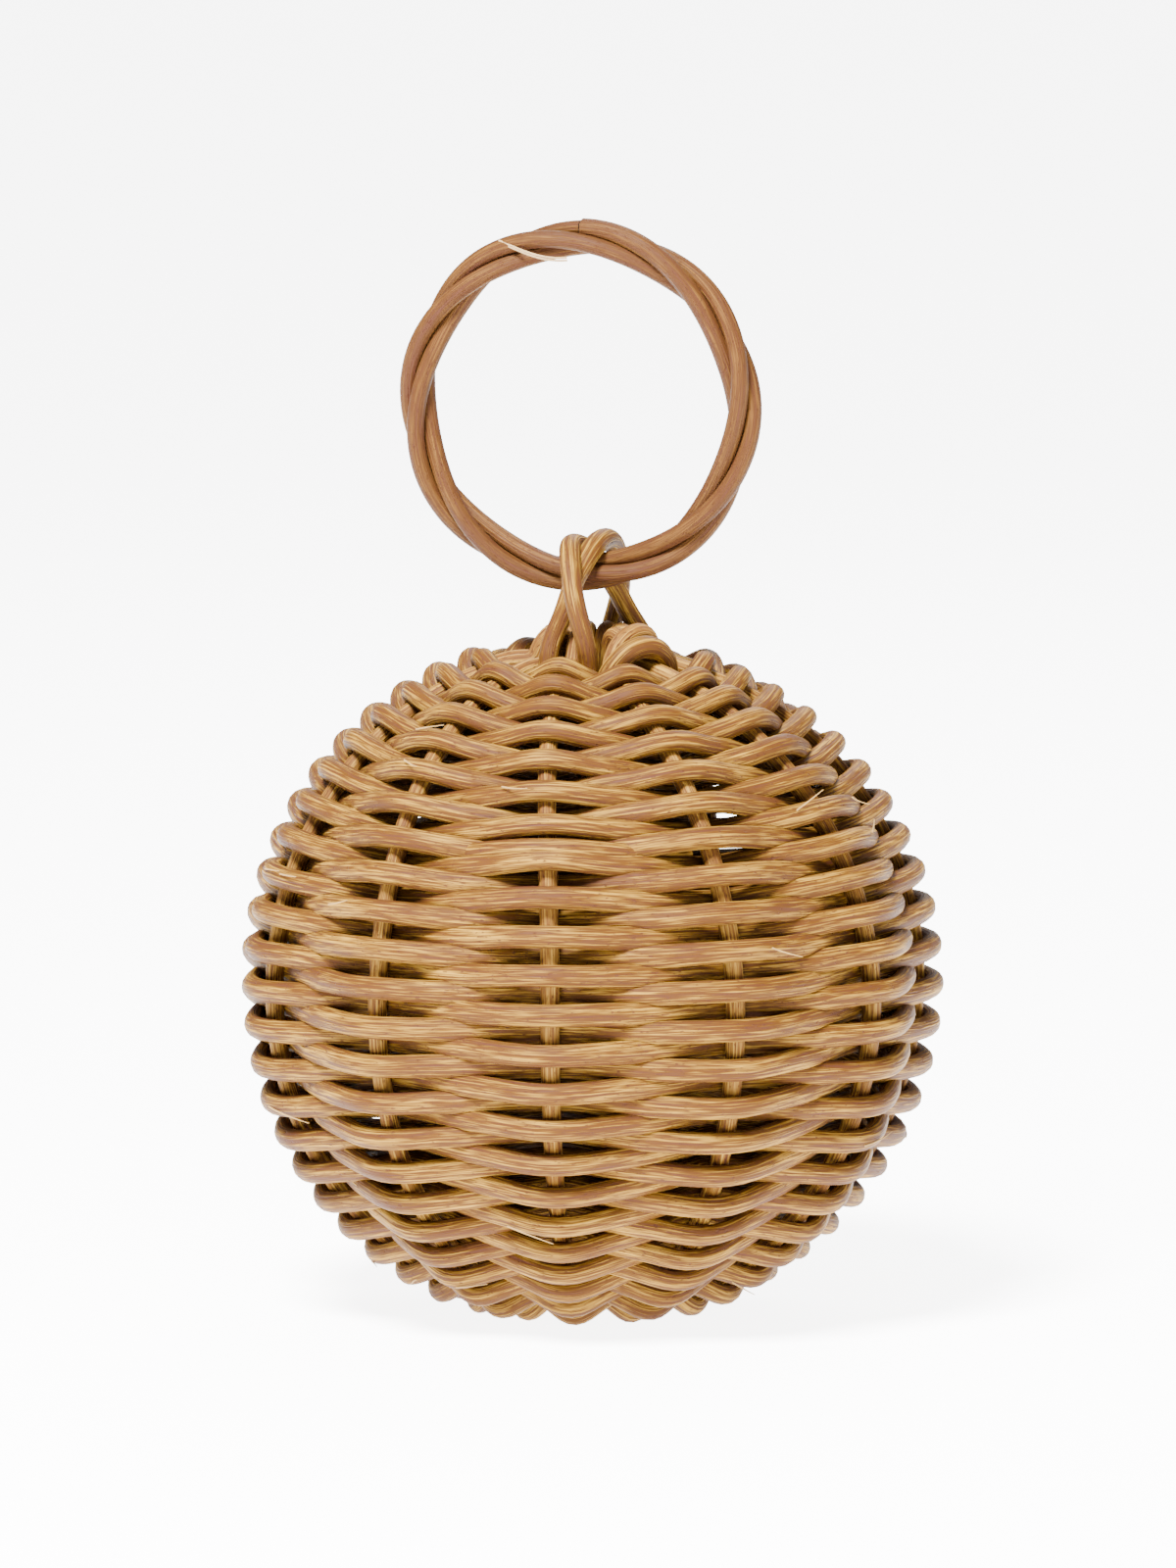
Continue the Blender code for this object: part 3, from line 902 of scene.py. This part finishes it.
def pale_fibre(shift):
    """A loose fibre that lies across the plies to the left of the ring's top."""
    points = []
    for step in range(PALE_FIBRE_STEPS + 1):
        part = step / PALE_FIBRE_STEPS
        first, last = PALE_FIBRE_TURN
        turned = first + (last - first) * part + shift * PALE_FIBRE_SLANT
        first, last = PALE_FIBRE_DEPTHS
        depth = first + (last - first) * part * (2 - part)
        reach = RING_WIDTH / 2 - depth - shift
        forward = PALE_FIBRE_FRONT + PALE_FIBRE_BULGE * math.sin(math.pi * part)
        points.append(ring_place(turned, reach, forward))
    return points, [PALE_FIBRE_WIDTH] * len(points)


RING_SIDES = 20
RING_SEED = 7.0
ring_curves = [ring_run(), *(pale_fibre(shift) for shift in PALE_FIBRE_SHIFTS)]
ring = grown("twisted_ring", REED_TREE, {
    "Radius": RING_REED / 2, "Sides": RING_SIDES, "Seed": RING_SEED, "Finish": RING_FINISH,
}, path("ring_line", *ring_curves))
settle(ring, "ring_reed", "hanging_ring")

# %% [markdown]
# ## The loop
#
# Two short strands come up through the gaps beside a stake, twist once round each
# other over the crown and go down again behind. An even helix would put the crossings
# anywhere, so the twist is read from a few knots, and the strands cross in front of the
# ring and again behind it. Bent this tightly, the reed also bulges over the top.

# %% Sizes of the loop
LOOP_STRAND = 0.0022
LOOP_FOOT_RADIUS = 0.0085
LOOP_FOOT_ABOVE_WALL = 0.0010
LOOP_TAIL_DEPTH = 0.0085
LOOP_TAIL_LEAN = 0.0022
LOOP_APEX_SPREAD = 0.0012
LOOP_APEX_DROPS = {"a": 0.0008, "b": 0.0004}
LOOP_CREST = 0.14
LOOP_FOOT_EASING = 4
LOOP_APEX_EASING = 6
LOOP_CREST_EASING = 4
LOOP_STEPS = 36
LOOP_SQUARENESS = 0.90
LOOP_FRONT_STAKE = 0.0
LOOP_FRONT_GAP = 0.5
LOOP_BACK_STAKE = 5.0
LOOP_BACK_GAP = 0.42
LOOP_TWIST = [(math.radians(turned), math.radians(twist)) for turned, twist in (
    (0, 0), (48, 90), (90, 180), (140, 270), (180, 360))]
CROSSING_SPREAD = LOOP_STRAND / 2 + REED_GAP
FOOT_SPREAD = LOOP_FOOT_RADIUS * math.sin(STAKE_STEP / 2)
FOOT_HEIGHT = wall_shape(along_at_crown(LOOP_FOOT_RADIUS))[1] + LOOP_FOOT_ABOVE_WALL
LOOP_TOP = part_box("loop_strand_a")[1][2]
print("the loop stands", round((LOOP_TOP - FOOT_HEIGHT) / MM, 2), "mm above its feet")


def between_knots(value, knots):
    """Straight-line reading between knots of (value, result)."""
    for (low, first), (high, second) in zip(knots, knots[1:]):
        if value <= high:
            return first + (second - first) * (value - low) / (high - low)
    return knots[-1][1]


# %% Route of a strand
def loop_arch(side, apex):
    """Arch with a full twist from the front foot to the back foot, and its radii."""
    middle_radius = LOOP_FOOT_RADIUS * math.cos(STAKE_STEP / 2)
    front = at_polar(middle_radius, stake_azimuth(LOOP_FRONT_STAKE, CROWN_ANGLE), 0.0)
    back = at_polar(middle_radius, stake_azimuth(LOOP_BACK_STAKE, CROWN_ANGLE), 0.0)
    across = Vector(((back - front).y, (front - back).x, 0.0)).normalized()
    arch = []
    radii = []
    for index in range(LOOP_STEPS + 1):
        turned = math.pi * index / LOOP_STEPS
        cosine_now = math.cos(turned)
        risen = max(math.sin(turned), 0.0)
        towards = math.copysign(abs(cosine_now) ** LOOP_SQUARENESS, cosine_now)
        middle = front * (towards ** 2 + towards) / 2 + back * (towards ** 2 - towards) / 2
        middle.z = FOOT_HEIGHT + (apex - FOOT_HEIGHT) * risen ** LOOP_SQUARENESS
        outward = (middle - Vector((0.0, 0.0, FOOT_HEIGHT))).normalized()
        twist = between_knots(turned, LOOP_TWIST)
        at_foot = towards ** LOOP_FOOT_EASING * math.cos(twist) ** 2
        spread = CROSSING_SPREAD + (FOOT_SPREAD - CROSSING_SPREAD) * at_foot
        spread += (LOOP_APEX_SPREAD - CROSSING_SPREAD) * risen ** LOOP_APEX_EASING
        offset = across * math.cos(twist) + outward * math.sin(twist)
        arch.append(middle + offset * spread * side)
        radii.append(1.0 + LOOP_CREST * risen ** LOOP_CREST_EASING)
    return arch, radii


def loop_run(side, apex):
    """One strand: tail, foot, arch, foot and tail, with its radii."""
    front_gap = LOOP_FRONT_STAKE + LOOP_FRONT_GAP * side
    back_gap = LOOP_BACK_STAKE - LOOP_BACK_GAP * side
    lowest = FOOT_HEIGHT - LOOP_TAIL_DEPTH
    tails = []
    for gap in (front_gap, back_gap):
        azimuth = stake_azimuth(gap, CROWN_ANGLE)
        lower = at_polar(LOOP_FOOT_RADIUS - LOOP_TAIL_LEAN, azimuth, lowest)
        upper = at_polar(LOOP_FOOT_RADIUS, azimuth, FOOT_HEIGHT - LOOP_TAIL_DEPTH / 3)
        tails.append([lower, upper])
    arch, radii = loop_arch(side, apex)
    return tails[0] + arch + tails[1][::-1], [1.0, 1.0, *radii, 1.0, 1.0]


print("points on a strand", len(loop_run(1, LOOP_TOP)[0]))

# %% Twist the loop
LOOP_SIDES = 20
LOOP_SEED = 50.0
LOOP_BEND_STEPS = 4
for name, side in (("a", 1), ("b", -1)):
    apex = LOOP_TOP - LOOP_STRAND / 2 - LOOP_APEX_DROPS[name]
    strand = grown(f"loop_twist_{name}", REED_TREE, {
        "Radius": LOOP_STRAND / 2,
        "Sides": LOOP_SIDES,
        "Seed": LOOP_SEED + side,
        "Finish": LOOP_FINISH,
    }, path(f"loop_{name}_line", smooth_through(*loop_run(side, apex), LOOP_BEND_STEPS)))
    settle(strand, "loop_reed", f"loop_strand_{name}")

# %% [markdown]
# ## Floor, light and camera
#
# The photograph has pure white behind the ball and big soft lights, with the strongest
# one above the ball to the left. A grey floor would spoil that white, so the paper here
# glows a little, as a backlit table does. It lies flat and has no wall behind it, so
# that the ball can be looked at from every side. The camera stands far away, as a long
# lens does, and looks down a little: near by, the ring would look too large.

# %% Paper floor
PAPER_COLOUR = (0.90, 0.90, 0.90, 1.0)
PAPER_ROUGHNESS = 0.7
PURE_WHITE = (1.0, 1.0, 1.0, 1.0)
PAPER_GLOW = 6.4
FLOOR_RADIUS = 4.0
FLOOR_EDGES = 64


def white_paper():
    """Matt paper that glows evenly."""
    made = bpy.data.materials.new("white_paper")
    made.use_nodes = True
    shader = made.node_tree.nodes["Principled BSDF"]
    shader.inputs["Base Color"].default_value = PAPER_COLOUR
    shader.inputs["Roughness"].default_value = PAPER_ROUGHNESS
    shader.inputs["Emission Color"].default_value = PURE_WHITE
    shader.inputs["Emission Strength"].default_value = PAPER_GLOW
    return made


def paper_floor():
    """A wide round sheet under the ball."""
    turns = [2 * math.pi * step / FLOOR_EDGES for step in range(FLOOR_EDGES)]
    rim = [(FLOOR_RADIUS * math.cos(turn), FLOOR_RADIUS * math.sin(turn), 0.0) for turn in turns]
    mesh = bpy.data.meshes.new("paper_floor")
    mesh.from_pydata(rim, [], [range(FLOOR_EDGES)])
    mesh.materials.append(white_paper())
    made = bpy.data.objects.new("paper_floor", mesh)
    bpy.context.scene.collection.objects.link(made)
    return made


floor = paper_floor()
print("floor across in metres", 2 * FLOOR_RADIUS)

# %% Lights
MIDDLE = Vector((0.0, 0.0, CAD_BOX[1][2] / 2))
WORLD_GLOW = 0.70
# Name, place and size in metres, and watts.
LIGHTS = (
    ("key", (-0.20, -0.44, 0.72), 0.26, 57.0),
    ("fill", (0.60, -0.50, 0.30), 0.50, 1.5),
    ("back", (0.10, 0.55, 0.50), 0.40, 5.0),
)


def aim(obj, target):
    """Turn a light or the camera towards a place."""
    obj.rotation_euler = (target - obj.location).to_track_quat("-Z", "Y").to_euler()


for name, place, size, watts in LIGHTS:
    lamp = bpy.data.lights.new(name, "AREA")
    lamp.shape = "DISK"
    lamp.size = size
    lamp.energy = watts
    light = bpy.data.objects.new(name, lamp)
    light.location = place
    aim(light, MIDDLE)
    bpy.context.scene.collection.objects.link(light)

world = bpy.data.worlds.new("studio")
world.use_nodes = True
background = world.node_tree.nodes["Background"]
background.inputs["Color"].default_value = PURE_WHITE
background.inputs["Strength"].default_value = WORLD_GLOW
bpy.context.scene.world = world
print("lights", [light[0] for light in LIGHTS])

# %% Camera at the photograph's angle
CAMERA_ELEVATION = math.radians(7.0)
CAMERA_DISTANCE = 1.80
FRAMED_HEIGHT = 0.1756
CAMERA_DROP = 0.002
SENSOR_HEIGHT = 36.0
NEAREST_SEEN = 0.01
camera = bpy.data.objects.new("camera", bpy.data.cameras.new("camera"))
camera.data.sensor_fit = "VERTICAL"
camera.data.sensor_height = SENSOR_HEIGHT
camera.data.lens = SENSOR_HEIGHT * CAMERA_DISTANCE / FRAMED_HEIGHT
camera.data.clip_start = NEAREST_SEEN
look_at = MIDDLE - Vector((0.0, 0.0, CAMERA_DROP))
camera.location = look_at + Vector((
    0.0,
    -math.cos(CAMERA_ELEVATION) * CAMERA_DISTANCE,
    math.sin(CAMERA_ELEVATION) * CAMERA_DISTANCE,
))
aim(camera, look_at)
bpy.context.scene.collection.objects.link(camera)
bpy.context.scene.camera = camera
print("lens in mm", round(camera.data.lens, 1))
